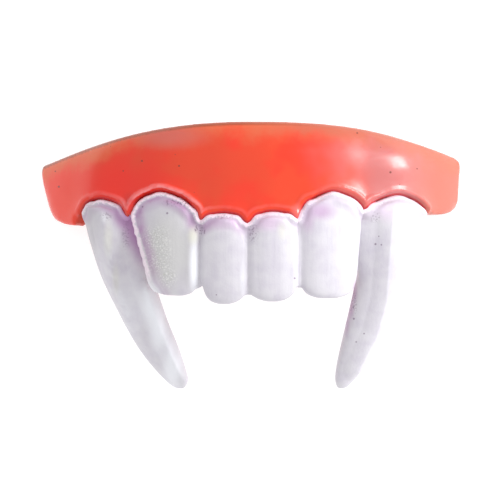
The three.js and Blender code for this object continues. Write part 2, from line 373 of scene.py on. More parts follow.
incisor_holds = [
    (-7.2, -5.4, 0, 0.75, 1.0),
    (-8.6, -6.4, -0.1, 0.5, 1.3),
    (-12.0, -6.6, 0, 0.25, 3.0),
    (-0.3, -5.6, 0, -0.3, 1.0),
]
grab(row, incisor_holds)
print("holds:", len(incisor_holds))

# %% [markdown]
# The outer crowns stand in front of the fangs and are a little narrower than their solids, by an amount that
# changes with the height. So their outer sides are drawn in, by a short table of widths at several heights.

# %% The sides of the outer crowns
drawn_in_heights = [-7, -4.2, 0.2, 4.8, 6.8, 8.8]
drawn_in_left = [0.8, 0.9, 1.1, 0.8, 0.9, 0.3]
drawn_in_right = [0.6, 0.8, 0.6, 0.3, 0.3, 0]
drawn_from = 12.5 * MM
drawn_full_left = 17.5 * MM
drawn_full_right = 17.0 * MM
points = places(row)
heights = points[:, 1] / MM
left_share = step(-points[:, 0], drawn_from, drawn_full_left)
right_share = step(points[:, 0], drawn_from, drawn_full_right)
drawn = np.interp(heights, drawn_in_heights, drawn_in_left) * left_share
drawn -= np.interp(heights, drawn_in_heights, drawn_in_right) * right_share
points[:, 0] += drawn * MM
put(row, points)
print("drawn in by up to", round(float(drawn.max()), 2), "mm")

# %% [markdown]
# The paint has run into the valleys between the incisors, so they are shallow, with one fine crease in the
# middle. The outer incisor at the left has a raised edge along its right side, which catches the light.

# %% The valleys and the raised edge
valley_fill = 0.5 * MM
valley_width = 0.9 * MM
crease_depth = 0.2 * MM
crease_width = 0.4 * MM
raised_x = -8.8 * MM
raised_reach = 1.0 * MM
raised_rise = 0.5 * MM
raised_top = 5.5 * MM
raised_foot = -6 * MM
raised_full = 3 * MM
around = np.arctan2(points[:, 0], points[:, 2] - arch_axis_z)
from_valley = np.min([np.abs(around - angle) for angle in valleys], axis=0) * arch_radius
front = step(normals(row)[:, 2], 0.1, 0.5)
lift = valley_fill * hump(from_valley, valley_width) - crease_depth * hump(from_valley, crease_width)
raised_edge = step(-points[:, 1], -raised_top, -raised_full) * step(points[:, 1], raised_foot, -raised_full)
raised_edge *= hump(points[:, 0] - raised_x, raised_reach)
push(row, (lift + raised_rise * raised_edge) * front)
row_tree = surface_of(row)
print("valleys filled by", round(valley_fill / MM, 2), "mm")

# %% [markdown]
# The fangs are cast like the incisors, but one by one. On the real casting they come out from behind the
# outer crowns. Their solids stop short of the crowns, so the side of a fang that lies near one is moved
# towards it, and passes behind it with no gap between.

# %% The fangs as they are cast
tuck_length = 2.3 * MM
tuck_reach = 3.2 * MM
tuck_full = 0.5 * MM
fang_bodies = {
    name: cast(name + "_cast", tooth_voxel, copy_of(name, name + "_copy", 3))
    for name in ("fang_left", "fang_right")
}
for name, body in fang_bodies.items():
    soften(body, cast_passes)
    fit_to(body, name)
    points = places(body)
    closeness = step(-distance_to(row_tree, points), -tuck_reach, -tuck_full)
    points[:, 0] += tuck_length * closeness * (1 if name == "fang_left" else -1)
    put(body, points)
print("fang triangles:", [triangles(body) for body in fang_bodies.values()])

# %% [markdown]
# The gum band is cast in soft vinyl, with one smooth face in front and the wearer's trough behind. It is the
# largest piece and has no fine forms yet, so its faces are larger than the teeth's. Only the strip along the
# teeth gets finer ones later.

# %% The gum band
gum_voxel = 0.3 * MM
gum_passes = 2
gum = cast("gum", gum_voxel, copy_of("gum_band", "gum_copy", 1))
soften(gum, gum_passes)
fit_to(gum, "gum_band")
print("gum triangles:", triangles(gum))

# %% [markdown]
# The margin is the wavy line where the gum meets the teeth. It could be drawn by hand as a curve, but it
# would be wrong after each change of shape. So rays shot at the front find it: in each column, the height
# where the first thing hit changes from gum to tooth. Distances from that line place the rolled edges and
# the pink of the paint.

# %% Trace the margin
margin_reach = 27 * MM
margin_pitch = 0.1 * MM
above_teeth = 14 * MM
below_margin = -1 * MM
coarse_pitch = 0.4 * MM
halvings = 5
margin_inset = 0.25 * MM
ray_start = 40 * MM


def tree_of(chosen):
    tree = KDTree(len(chosen))
    for index, point in enumerate(chosen):
        tree.insert(point, index)
    tree.balance()
    return tree


def nearest_of(tree, points):
    return np.array([tree.find(Vector(point))[2] for point in points])


def trace_margin():
    gum_tree = surface_of(gum)
    teeth_tree = surface_of(row, *fang_bodies.values())

    def first_hit(x, y):
        start = Vector((x, y, ray_start))
        hits = [tree.ray_cast(start, Vector((0, 0, -1)))[0] for tree in (gum_tree, teeth_tree)]
        return [hit.z if hit else -1 for hit in hits]

    on_tooth = []
    on_gum = []
    for x in np.arange(-margin_reach, margin_reach, margin_pitch):
        for y in np.arange(above_teeth, below_margin, -coarse_pitch):
            gum_z, tooth_z = first_hit(x, y)
            if tooth_z > gum_z:
                break
        else:
            continue
        low, high = y, y + coarse_pitch
        for _ in range(halvings):
            y = (high + low) / 2
            gum_z, tooth_z = first_hit(x, y)
            if tooth_z > gum_z:
                low = y
            else:
                high = y
        on_tooth.append((x, low, first_hit(x, low - margin_inset)[1]))
        on_gum.append((x, high, first_hit(x, high + margin_inset)[0]))
    return tree_of(on_tooth), tree_of(on_gum)


tooth_margin, gum_margin = trace_margin()
print("margin points:", tooth_margin.find((0, 0, 0))[1])

# %% [markdown]
# The remeshed band still has the facets of its solid. Its open face is smoothed strongly, by a vertex group
# that fades towards the outline and the margin, so both of these stay where they are. The group's weights
# are set in steps of a twentieth.

# %% The gum's face
outline_keep = 2.5 * MM
face_passes = 110
weight_steps = 20
margin_share = 0.25


def outwards(points):
    away = np.stack([points[:, 0], np.zeros(len(points)), points[:, 2] - arch_axis_z], axis=1)
    return away / np.linalg.norm(away, axis=1)[:, None]


def facing(piece):
    points = places(piece)
    return (normals(piece) * outwards(points)).sum(axis=1)


def paint_weights(piece, name, weights):
    group = piece.vertex_groups.new(name=name)
    levels = np.round(weights * weight_steps).astype(int)
    for level in np.unique(levels[levels > 0]):
        group.add(np.nonzero(levels == level)[0].tolist(), level / weight_steps, "REPLACE")


points = places(gum)
gum_facing = facing(gum)
to_margin = nearest_of(gum_margin, points)
outline = points[(gum_facing < 0.3) & (to_margin > 2 * MM)]
to_outline = nearest_of(tree_of(outline), points)
face_share = step(gum_facing, 0.2, 0.6) * step(to_outline, 0.3 * MM, outline_keep)
open_share = margin_share + (1 - margin_share) * step(to_margin, 0.6 * MM, 3 * MM)
paint_weights(gum, "face", face_share * open_share)
soften(gum, face_passes, "face")
gum.vertex_groups.clear()
print("face points:", int((face_share > 0.5).sum()))

# %% [markdown]
# Between two crowns the gum comes down in a pointed tip. The tips are pulled down with the grab brush and
# pushed out a little, most of all the one beside the left fang.

# %% The tips of the gum
papilla_holds = [
    (-7.2, 5.9, 0, -0.45, 1.6),
    (-0.3, 5.7, 0, -0.5, 1.6),
    (7.1, 5.9, 0, -0.3, 1.6),
    (-18.3, 7.7, 0, -1.4, 1.3),
    (17.4, 7.2, 0, -0.3, 1.2),
]
grab(gum, papilla_holds)
points = places(gum)
papilla_tips = np.array([(-18.3, 7.0), (-7.2, 5.5), (-0.3, 5.3), (7.1, 5.5), (17.4, 6.8)]) * MM
papilla_reach = 1.3 * MM
tip_along = [-20, -17, -14]
tip_rises = [0.8, 0.8, 0.35]


def at_papillae(points):
    gaps = [np.hypot(points[:, 0] - x, points[:, 1] - y) for x, y in papilla_tips]
    return hump(np.min(gaps, axis=0), papilla_reach)


tip_rise = np.interp(points[:, 0] / MM, tip_along, tip_rises) * MM
push(gum, tip_rise * at_papillae(points) * step(facing(gum), 0.2, 0.6))
print("tips:", len(papilla_tips))

# %% [markdown]
# The crowns stand proud of the vinyl all along the margin, and only the tips of the gum between two crowns
# lie in front of them. So the top of each crown is lifted out of the arch and softened, and swells where it
# comes near the gum, which closes the gap that the solids need. Some more holds bring the crown beside each
# tip and the left fang to their outlines. The margin is then traced once more.

# %% The tops of the crowns
top_lift = 0.6 * MM
top_reach = 2.2 * MM
top_full = 0.3 * MM
top_soft = 0.8 * MM
tip_reach = 1.9 * MM
seat_swell = 0.5 * MM
seat_reach = 1.1 * MM
seat_full = 0.2 * MM
top_passes = 30
gum_tree = surface_of(gum)


def distance_to_top(points):
    return nearest_of(tooth_margin, points)


def lift_top(piece):
    points = places(piece)
    share = step(-distance_to_top(points), -top_reach, -top_full)
    tips = [np.hypot(points[:, 0] - x, points[:, 1] - y) for x, y in papilla_tips]
    share *= 1 - hump(np.min(tips, axis=0), tip_reach)
    share *= step((normals(piece) * outwards(points)).sum(axis=1), -0.3, 0.3)
    put(piece, points + outwards(points) * (top_lift * share)[:, None])


def seat(piece):
    points = places(piece)
    push(piece, seat_swell * step(-distance_to(gum_tree, points), -seat_reach, -seat_full))


crown_top_holds = [(-18.0, 8.2, 0.3, -0.5, 1.0), (8.9, 7.5, -0.15, 0.35, 0.9)]
fang_left_holds = [
    (-24.9, 7.6, -0.15, 0.3, 1.0),
    (-25.2, 2.4, 0.6, 0, 4.5),
    (-16.4, -14.4, -0.6, 0, 6.5),
    (-11.6, -14.0, 0.25, 0, 3.0),
]
grab(row, crown_top_holds)
grab(fang_bodies["fang_left"], fang_left_holds)
for piece in (row, *fang_bodies.values()):
    lift_top(piece)
    paint_weights(piece, "top", step(-distance_to_top(places(piece)), -top_reach, -top_soft))
    soften(piece, top_passes, "top")
    piece.vertex_groups.clear()
    seat(piece)
tooth_margin, gum_margin = trace_margin()
print("tops lifted by", round(top_lift / MM, 2), "mm")

# %% [markdown]
# A rolled rim runs along the top of each crown, where the paint meets the gum, with a shallow groove below
# it. On the outer incisor at the left the rim turns down the side, along the fang, and fades out. A bevel
# would give an edge as even as a machine's, so the rim is a hump in the distance from the margin instead,
# and a noise makes it wavy.

# %% The rims of the crowns
rim_rise = 0.16 * MM
rim_place = 0.32 * MM
rim_width = 0.24 * MM
groove_depth = 0.24 * MM
groove_place = 0.95 * MM
groove_width = 0.38 * MM
side_edge = [(-18.2, 6.3), (-17.9, 4.8), (-16.5, 0.2), (-15.4, -4.2), (-14.2, -6.0)]
side_rim_rise = 0.28 * MM
side_rim_back = 11 * MM
side_rim_front = 13 * MM
side_rim_fades = (1.5 * MM, 5 * MM)
right_strength = 0.35
full_strength_from = (5 * MM, 9 * MM)
uneven_share = 0.5
unevenness_size = 0.7 * MM


def uneven(points, size):
    return np.array([noise.noise(Vector(point) / size) for point in points])


def distance_to_edge(points):
    behind = step(-points[:, 2], -side_rim_front, -side_rim_back)
    at_side = distance_to_line(points, side_edge) + 1 * MM * behind
    return np.minimum(distance_to_top(points), at_side)


def with_rim(piece, edge_distance):
    points = places(piece)
    edge = edge_distance(points)
    strength = right_strength + (1 - right_strength) * step(-points[:, 0], *full_strength_from)
    at_side = step(distance_to_top(points) - edge, 0, 0.5 * MM)
    fading = 1 - at_side * step(-points[:, 1], *side_rim_fades)
    rise = (rim_rise * strength + side_rim_rise * at_side) * fading
    front = step(normals(piece)[:, 2], 0, 0.5)
    wavy = 1 + uneven_share * uneven(points, unevenness_size)
    lift = rise * wavy * hump(edge - rim_place, rim_width) * front
    lift -= groove_depth * strength * hump(edge - groove_place, groove_width) * front
    push(piece, lift)


with_rim(row, distance_to_edge)
for body in fang_bodies.values():
    with_rim(body, distance_to_top)
soften(row, 1)
row_tree = surface_of(row)
print("rims raised")

# %% [markdown]
# The gum isn't flat: at the right it has a low oval swelling, whose upper slope catches the lamp.

# %% The swelling at the right
lump_middle = (22.0 * MM, 14.2 * MM)
lump_reach = (17.0 * MM, 2.9 * MM)
lump_rise = 0.42 * MM
tooth_margin, gum_margin = trace_margin()
points = places(gum)
away_x = (points[:, 0] - lump_middle[0]) / lump_reach[0]
away_y = (points[:, 1] - lump_middle[1]) / lump_reach[1]
push(gum, lump_rise * hump(np.hypot(away_x, away_y), 1) * step(facing(gum), 0.3, 0.7))
print("swelling:", round(lump_rise / MM, 2), "mm")

# %% [markdown]
# Round each crown the vinyl rises in a collar, with a narrow groove between it and the tooth. The collar is
# strongest round the outer incisor at the left. It is a third of a millimetre wide, narrower than two of the
# gum's faces, so the strip along the margin is subdivided first.

# %% The collars
edge_passes = 2
strip_width = 3.0 * MM
collar_rise = 0.45 * MM
collar_place = 0.95 * MM
collar_width = 0.34 * MM
groove_sink = 0.1 * MM
edge_soft = (0.3 * MM, 1.2 * MM)
collar_along = [-27, -20, -17, -9, -6.5, 6.5, 9.5, 18, 27]
collar_share = [0.25, 0.5, 0.9, 0.9, 0.2, 0.15, 0.45, 0.4, 0.5]


def finer_strip(piece, near):
    select_only(piece)
    bpy.ops.object.mode_set(mode="EDIT")
    bpy.ops.mesh.select_all(action="DESELECT")
    bpy.ops.object.mode_set(mode="OBJECT")
    piece.data.vertices.foreach_set("select", near)
    for face in piece.data.polygons:
        face.select = all(near[corner] for corner in face.vertices)
    bpy.ops.object.mode_set(mode="EDIT")
    bpy.ops.mesh.subdivide(number_cuts=1, smoothness=1)
    bpy.ops.object.mode_set(mode="OBJECT")


to_margin = nearest_of(gum_margin, places(gum))
paint_weights(gum, "edge", step(-to_margin, -edge_soft[1], -edge_soft[0]))
soften(gum, edge_passes, "edge")
gum.vertex_groups.clear()
finer_strip(gum, (nearest_of(gum_margin, places(gum)) < strip_width) & (facing(gum) > 0.2))
to_margin = nearest_of(gum_margin, places(gum))
collar = np.interp(places(gum)[:, 0] / MM, collar_along, collar_share)
lift = collar_rise * hump(to_margin - collar_place, collar_width)
lift -= groove_sink * hump(to_margin, collar_width)
push(gum, lift * collar * step(facing(gum), 0.2, 0.6))
print("gum triangles:", triangles(gum))

# %% [markdown]
# Each incisor is a piece of its own, so the fused row is cut at its valleys, along planes through the arch's
# axis. Bisect cuts a copy of the row, drops what lies beyond the plane and fills the cut, which keeps every
# tooth closed. The two faces of a cut lie against each other, so no gap shows.

# %% Cut the row into its four teeth
smooth_below = math.radians(60)


def cut_out(name, after, before):
    select_only(row)
    bpy.ops.object.duplicate()
    tooth = bpy.context.active_object
    tooth.name = name
    for angle, keep_right in ((after, True), (before, False)):
        if angle is None:
            continue
        across = (math.cos(angle), 0, -math.sin(angle))
        bpy.ops.object.mode_set(mode="EDIT")
        bpy.ops.mesh.select_all(action="SELECT")
        bpy.ops.mesh.bisect(
            plane_co=(0, 0, arch_axis_z),
            plane_no=across,
            threshold=merge_distance,
            use_fill=True,
            clear_inner=keep_right,
            clear_outer=not keep_right,
        )
        bpy.ops.object.mode_set(mode="OBJECT")
    bpy.ops.object.shade_smooth_by_angle(angle=smooth_below)
    return tooth


limits = [None, *valleys, None]
crowns = {
    name: cut_out(name.replace("incisor", "crown"), limits[index], limits[index + 1])
    for index, name in enumerate(incisor_names)
}
bpy.data.objects.remove(row)
print("crowns:", {crown.name: triangles(crown) for crown in crowns.values()})

# %% [markdown]
# The fangs are long and bend inwards. Each has a ridge down its front, which catches the light and parts its
# bright side from its dark one. The ridge is raised like a tent, so that both of its sides are nearly flat.

# %% The ridges of the fangs
ridge_lines = {
    "fang_left": [
        (0.6 * MM, 2.0 * MM, [(-23.0, 9.5), (-21.8, 2.5), (-20.3, -5.2), (-18.6, -9.8)]),
        (0.8 * MM, 1.9 * MM, [(-15.9, -5.1), (-14.4, -9.8), (-12.5, -14.5), (-10.5, -18.9)]),
    ],
    "fang_right": [
        (0.5 * MM, 2.2 * MM, [(21.9, 9.0), (21.3, 1.0), (20.8, -6.7), (19.3, -12.2), (16.6, -17.6)]),
    ],
}
far_away = 9 * MM
ridge_clear = (1.2 * MM, 3 * MM)
ridge_passes = 3


def tent(distance, width):
    return np.clip(1 - distance / width, 0, 1)


for name, body in fang_bodies.items():
    for height, width, line in ridge_lines[name]:
        points = places(body)
        share = step(normals(body)[:, 2], 0, 0.5) * step(distance_to_top(points), *ridge_clear)
        push(body, height * tent(distance_to_line(points, line), width) * share)
    soften(body, ridge_passes)
    body.name = "crown_" + name
    crowns[name] = body
print("ridges on:", list(fang_bodies))

# %% [markdown]
# The paint follows the shape: it is pink at the rims, and carries a painted highlight on the ridges and painted
# shade beside the outer crowns.
# So each vertex keeps its distances to these forms, in millimetres, and the materials read them. They could
# be painted as masks, but a measured distance stays right when a shape changes.

# %% Keep the distances for the paint
columns_per_mm = 2
for name, crown in crowns.items():
    points = places(crown)
    edge_distance = distance_to_edge if name == "incisor_outer_left" else distance_to_top
    nowhere_near = np.full(len(points), far_away)
    to_row = distance_to(row_tree, points) if name in fang_bodies else nowhere_near
    to_ridges = [distance_to_line(points, line) for _, _, line in ridge_lines.get(name, [])]
    keep_on_vertices(crown, "to_edge", edge_distance(points) / MM)
    keep_on_vertices(crown, "to_neighbour", to_row / MM)
    keep_on_vertices(crown, "to_ridge", np.min([nowhere_near, *to_ridges], axis=0) / MM)
column = np.round(places(gum)[:, 0] / MM * columns_per_mm).astype(int)
column_top = {c: places(gum)[column == c, 1].max() for c in np.unique(column)}
gum_to_rim = np.array([column_top[c] for c in column]) - places(gum)[:, 1]
keep_on_vertices(gum, "to_rim", gum_to_rim / MM)
keep_on_vertices(gum, "front", step(facing(gum), -0.1, 0.4))
keep_on_vertices(gum, "to_margin", nearest_of(gum_margin, places(gum)) / MM)
print("kept on the gum:", [layer.name for layer in gum.data.attributes if layer.name.startswith("to_")])

# %% [markdown]
# Materials are node trees. A few short helpers add a node, set its inputs and link it, so that each finish
# can be read as a list of steps.

# %% Helpers for materials
def feed(socket, value):
    if isinstance(value, bpy.types.NodeSocket):
        socket.id_data.links.new(value, socket)
    else:
        socket.default_value = value


def node(tree, kind, inputs=(), **settings):
    made = tree.nodes.new(kind)
    for name, value in settings.items():
        setattr(made, name, value)
    for place, value in dict(inputs).items():
        feed(made.inputs[place], value)
    return made


def mixed(tree, factor, below, above):
    return node(tree, "ShaderNodeMix", {0: factor, 6: below, 7: above}, data_type="RGBA").outputs[2]


def ranged(tree, value, low, high, start=0.0, end=1.0):
    inputs = {"Value": value, "From Min": low, "From Max": high, "To Min": start, "To Max": end}
    return node(tree, "ShaderNodeMapRange", inputs, interpolation_type="SMOOTHSTEP").outputs[0]


def maths(tree, operation, *values):
    return node(tree, "ShaderNodeMath", dict(enumerate(values)), operation=operation).outputs[0]


def times(tree, *values):
    product = values[0]
    for value in values[1:]:
        product = maths(tree, "MULTIPLY", product, value)
    return product


def cloud(tree, place, scale, detail=2.0):
    inputs = {"Vector": place, "Scale": scale, "Detail": detail}
    return node(tree, "ShaderNodeTexNoise", inputs).outputs["Fac"]


def kept(tree, name):
    return node(tree, "ShaderNodeAttribute", attribute_name=name).outputs["Fac"]


def material(name):
    made = bpy.data.materials.new(name)
    made.use_nodes = True
    tree = made.node_tree
    return made, tree, tree.nodes["Principled BSDF"]


print("material helpers ready")

# %% [markdown]
# Three effects come back in the finishes, so each is a node group, built once. A spot is a soft oval patch at
# a place on the front. Specks are scattered dots of dust. Grain is a fine roughness, for the bump.

# %% Groups for the spots, the specks and the grain
def group(name, inputs, output):
    made = bpy.data.node_groups.new(name, "ShaderNodeTree")
    for label, kind, value in inputs:
        socket = made.interface.new_socket(label, in_out="INPUT", socket_type=kind)
        if value is not None:
            socket.default_value = value
    made.interface.new_socket(output, in_out="OUTPUT", socket_type="NodeSocketFloat")
    return made, made.nodes.new("NodeGroupInput").outputs, made.nodes.new("NodeGroupOutput").inputs


def vectors(tree, operation, *values):
    return node(tree, "ShaderNodeVectorMath", dict(enumerate(values)), operation=operation).outputs


VECTOR = "NodeSocketVector"
FLOAT = "NodeSocketFloat"
spot_inputs = [
    ("Vector", VECTOR, None),
    ("Middle", VECTOR, (0, 0, 0)),
    ("Reach", VECTOR, (1, 1, 1)),
    ("Softness", FLOAT, 0.5),
]
spot_group, given, result = group("Spot", spot_inputs, "Mask")
away = vectors(spot_group, "SUBTRACT", given["Vector"], given["Middle"])[0]
flat = vectors(spot_group, "MULTIPLY", away, (1, 1, 0))[0]
share = vectors(spot_group, "DIVIDE", flat, given["Reach"])[0]
length = vectors(spot_group, "LENGTH", share)["Value"]
inner = maths(spot_group, "SUBTRACT", 1.0, given["Softness"])
outer = maths(spot_group, "ADD", 1.0, given["Softness"])
feed(result[0], ranged(spot_group, length, outer, inner))

speck_inputs = [
    ("Vector", VECTOR, None),
    ("Scale", FLOAT, 500.0),
    ("Size", FLOAT, 0.15),
    ("Share", FLOAT, 0.1),
]
speck_group, given, result = group("Specks", speck_inputs, "Mask")
cell_inputs = {"Vector": given["Vector"], "Scale": given["Scale"]}
cells = node(speck_group, "ShaderNodeTexVoronoi", cell_inputs).outputs
dots = maths(speck_group, "LESS_THAN", cells["Distance"], given["Size"])
picked = node(speck_group, "ShaderNodeSeparateColor", {0: cells["Color"]}).outputs[0]
feed(result[0], times(speck_group, dots, maths(speck_group, "LESS_THAN", picked, given["Share"])))

grain_inputs = [("Vector", VECTOR, None), ("Scale", FLOAT, 2000.0), ("Stretch", VECTOR, (1, 1, 1))]
grain_group, given, result = group("Grain", grain_inputs, "Height")
drawn_out = vectors(grain_group, "MULTIPLY", given["Vector"], given["Stretch"])[0]
feed(result[0], cloud(grain_group, drawn_out, given["Scale"], 3.0))


def use(tree, which, **inputs):
    made = tree.nodes.new("ShaderNodeGroup")
    made.node_tree = which
    for label, value in inputs.items():
        feed(made.inputs[label], value)
    return made.outputs[0]


def spot(tree, place, x, y, half_width, half_height, softness=0.5):
    middle = (x * MM, y * MM, 0)
    reach = (half_width * MM, half_height * MM, 1)
    return use(tree, spot_group, Vector=place, Middle=middle, Reach=reach, Softness=softness)


print("groups:", [made.name for made in (spot_group, speck_group, grain_group)])

# %% [markdown]
# The vinyl is orange-red in the middle, with random darker blotches, and deeper at the left. Towards the right
# end it turns salmon pink, partly the dye and partly a painted sheen of the lamps at the right. It is browner
# along the top edge, and painted shade lies where the band curves back: a greyer patch near the top at the
# left and a dark line along the edge. The collars carry a pink band, partly a breath of the pearl paint and
# partly painted light on their lit crests, and painted shade lies in the narrow groove at the margin. The
# colour is built up from the ground colour in mixes, each with its own mask, so that any one can be taken out
# again. The specks are dirt caught in the vinyl, each as its place and radius.

# %% The gum's material
gum_plain = (0.68, 0.062, 0.026, 1)
gum_red = (0.73, 0.047, 0.010, 1)
gum_deep = (0.82, 0.019, 0.005, 1)
gum_salmon_and_sheen = (0.51, 0.142, 0.135, 1)
gum_right_end_and_sheen = (0.50, 0.125, 0.085, 1)
gum_left_end = (0.84, 0.047, 0.020, 1)
gum_tan = (0.73, 0.135, 0.048, 1)
gum_tan_right_and_sheen = (0.50, 0.125, 0.070, 1)
gum_top_shade = (0.64, 0.120, 0.085, 1)
gum_edge_shade = (0.30, 0.060, 0.020, 1)
gum_collar_paint_and_light = (0.98, 0.255, 0.255, 1)
gum_groove_shade = (0.45, 0.012, 0.018, 1)
gum_dirt = (0.13, 0.03, 0.02, 1)
gum_specks = [
    (-29.6, 10.8, 0.16),
    (-30.2, 13.2, 0.11),
    (-16.5, 14.6, 0.15),
    (-10.8, 13.8, 0.14),
    (21.5, 12.9, 0.17),
    (25.7, 13.5, 0.12),
    (16.4, 18.9, 0.13),
    (-19.4, 13.1, 0.10),
]

gum_vinyl, tree, shader = material("gum_vinyl")
place = node(tree, "ShaderNodeTexCoord").outputs["Object"]
blotches = cloud(tree, place, 160.0)
x = node(tree, "ShaderNodeSeparateXYZ", {0: place}).outputs[0]
wander = maths(tree, "MULTIPLY", maths(tree, "SUBTRACT", blotches, 0.5), 12 * MM)
wandering_x = maths(tree, "ADD", x, wander)
to_right = ranged(tree, wandering_x, 7 * MM, 21 * MM)
colour = mixed(tree, ranged(tree, blotches, 0.42, 0.62, 0.0, 0.5), gum_red, gum_deep)
colour = mixed(tree, spot(tree, place, -20.4, 10.9, 6.5, 3.2, 0.8), colour, gum_deep)
colour = mixed(tree, ranged(tree, wandering_x, -23 * MM, -30 * MM), colour, gum_left_end)
# salmon towards the right: partly the dye and partly a painted sheen of the lamps at the right
colour = mixed(tree, to_right, colour, gum_salmon_and_sheen)
colour = mixed(tree, ranged(tree, x, 22 * MM, 30 * MM), colour, gum_right_end_and_sheen)
to_rim = kept(tree, "to_rim")
smears = maths(tree, "MULTIPLY", cloud(tree, place, 420.0), 3.0)
wavy_rim = maths(tree, "ADD", to_rim, maths(tree, "MULTIPLY", blotches, 3.0))
from_rim = maths(tree, "ADD", wavy_rim, smears)
near_rim = ranged(tree, from_rim, 6.6, 3.0, 0.0, 0.9)
# the band along the top turns paler towards the right, partly the dye and partly a painted sheen
tan = mixed(tree, ranged(tree, x, -4 * MM, 12 * MM), gum_tan, gum_tan_right_and_sheen)
colour = mixed(tree, near_rim, colour, tan)
# painted shade: a greyer patch near the top at the left, where the band curves back
colour = mixed(tree, spot(tree, place, -12.3, 18.4, 4.5, 1.6, 0.8), colour, gum_top_shade)
# painted shade: a dark line along the very top edge, strongest at the left, where the edge turns away
left_of_middle = ranged(tree, x, 12 * MM, -4 * MM, 0.25, 0.85)
colour = mixed(tree, times(tree, ranged(tree, to_rim, 0.75, 0.3), left_of_middle), colour, gum_edge_shade)
to_margin = kept(tree, "to_margin")
fine_blotches = cloud(tree, place, 900.0)
# the pink band on each collar is partly a breath of the pearl paint and partly painted light on its lit crest
at_collar = times(tree, ranged(tree, to_margin, 0.65, 0.9), ranged(tree, to_margin, 1.45, 1.0))
collar_left = ranged(tree, x, -5 * MM, -9 * MM, 0.15, 1.0)
collar_end = ranged(tree, x, -21 * MM, -18 * MM, 0.25, 1.0)
smeared = ranged(tree, fine_blotches, 0.3, 0.6, 0.6, 1.0)
colour = mixed(tree, times(tree, at_collar, collar_left, collar_end, smeared), colour, gum_collar_paint_and_light)
# painted shade in the narrow groove at the margin, and in the gap beside the top of the left fang
colour = mixed(tree, ranged(tree, to_margin, 0.5, 0.15, 0.0, 0.9), colour, gum_groove_shade)
colour = mixed(tree, times(tree, spot(tree, place, -18.3, 7.9, 1.2, 1.4, 0.8), 0.4), colour, gum_groove_shade)
# a pink patch on the tip of gum beside the outer incisor at the right, partly paint and partly painted light
colour = mixed(tree, times(tree, spot(tree, place, 7.1, 6.7, 0.8, 1.0, 0.8), 0.4), colour, gum_collar_paint_and_light)
for at_x, at_y, size in gum_specks:
    mask = times(tree, spot(tree, place, at_x, at_y, size, size, 0.3), 0.85)
    colour = mixed(tree, mask, colour, gum_dirt)
dust = use(tree, speck_group, Vector=place, Scale=700.0, Size=0.07, Share=0.12)
colour = mixed(tree, times(tree, dust, 0.6), colour, gum_dirt)
colour = mixed(tree, kept(tree, "front"), gum_plain, colour)
feed(shader.inputs["Base Color"], colour)
feed(shader.inputs["Roughness"], ranged(tree, fine_blotches, 0.3, 0.7, 0.17, 0.26))
shader.inputs["Specular IOR Level"].default_value = 0.55
shader.inputs["Subsurface Weight"].default_value = 0.12
shader.inputs["Subsurface Radius"].default_value = (1.0, 0.3, 0.2)
shader.inputs["Subsurface Scale"].default_value = 1.2 * MM
fine = use(tree, grain_group, Vector=place, Scale=1400.0)
bump = node(tree, "ShaderNodeBump", {"Strength": 0.12, "Distance": 0.05 * MM, "Height": fine})
feed(shader.inputs["Normal"], bump.outputs[0])
gum.data.materials.append(gum_vinyl)
print("made", gum_vinyl.name)

# %% [markdown]
# The teeth are brushed with a pearl paint that has a lavender cast. It is pink and thick at the rims and rough
# in a few patches, with specks of dirt caught in it. Painted shade lies purple in the grooves below the rims
# and in the crevices beside the outer crowns, and a painted highlight runs down the ridges of the left fang. A
# few patches are yellow, partly a stain and partly a painted sheen of the highlights. What repeats with the
# shape is driven by the kept distances. What was put on once stands in a table: a place, half a width, half
# a height and how much of the paint there is. Its brightest spots are painted light, and its shade and purple
# spots are painted shade.

# %% The teeth's material
pearl = (0.570, 0.540, 0.610, 1)
pearl_light = (0.640, 0.620, 0.665, 1)
pearl_grey = (0.580, 0.575, 0.570, 1)
pearl_shade = (0.480, 0.460, 0.490, 1)
pearl_painted_light = (0.840, 0.850, 0.900, 1)
pearl_rim = (0.920, 0.750, 0.860, 1)
pearl_purple_shade = (0.430, 0.240, 0.440, 1)
pearl_mauve = (0.520, 0.385, 0.540, 1)
pearl_pink = (0.720, 0.520, 0.720, 1)
pearl_yellow_stain_and_sheen = (0.740, 0.740, 0.570, 1)
pearl_pit = (0.470, 0.480, 0.430, 1)
fleck_white_and_sparkle = (0.860, 0.860, 0.830, 1)
tooth_dirt = (0.16, 0.10, 0.17, 1)
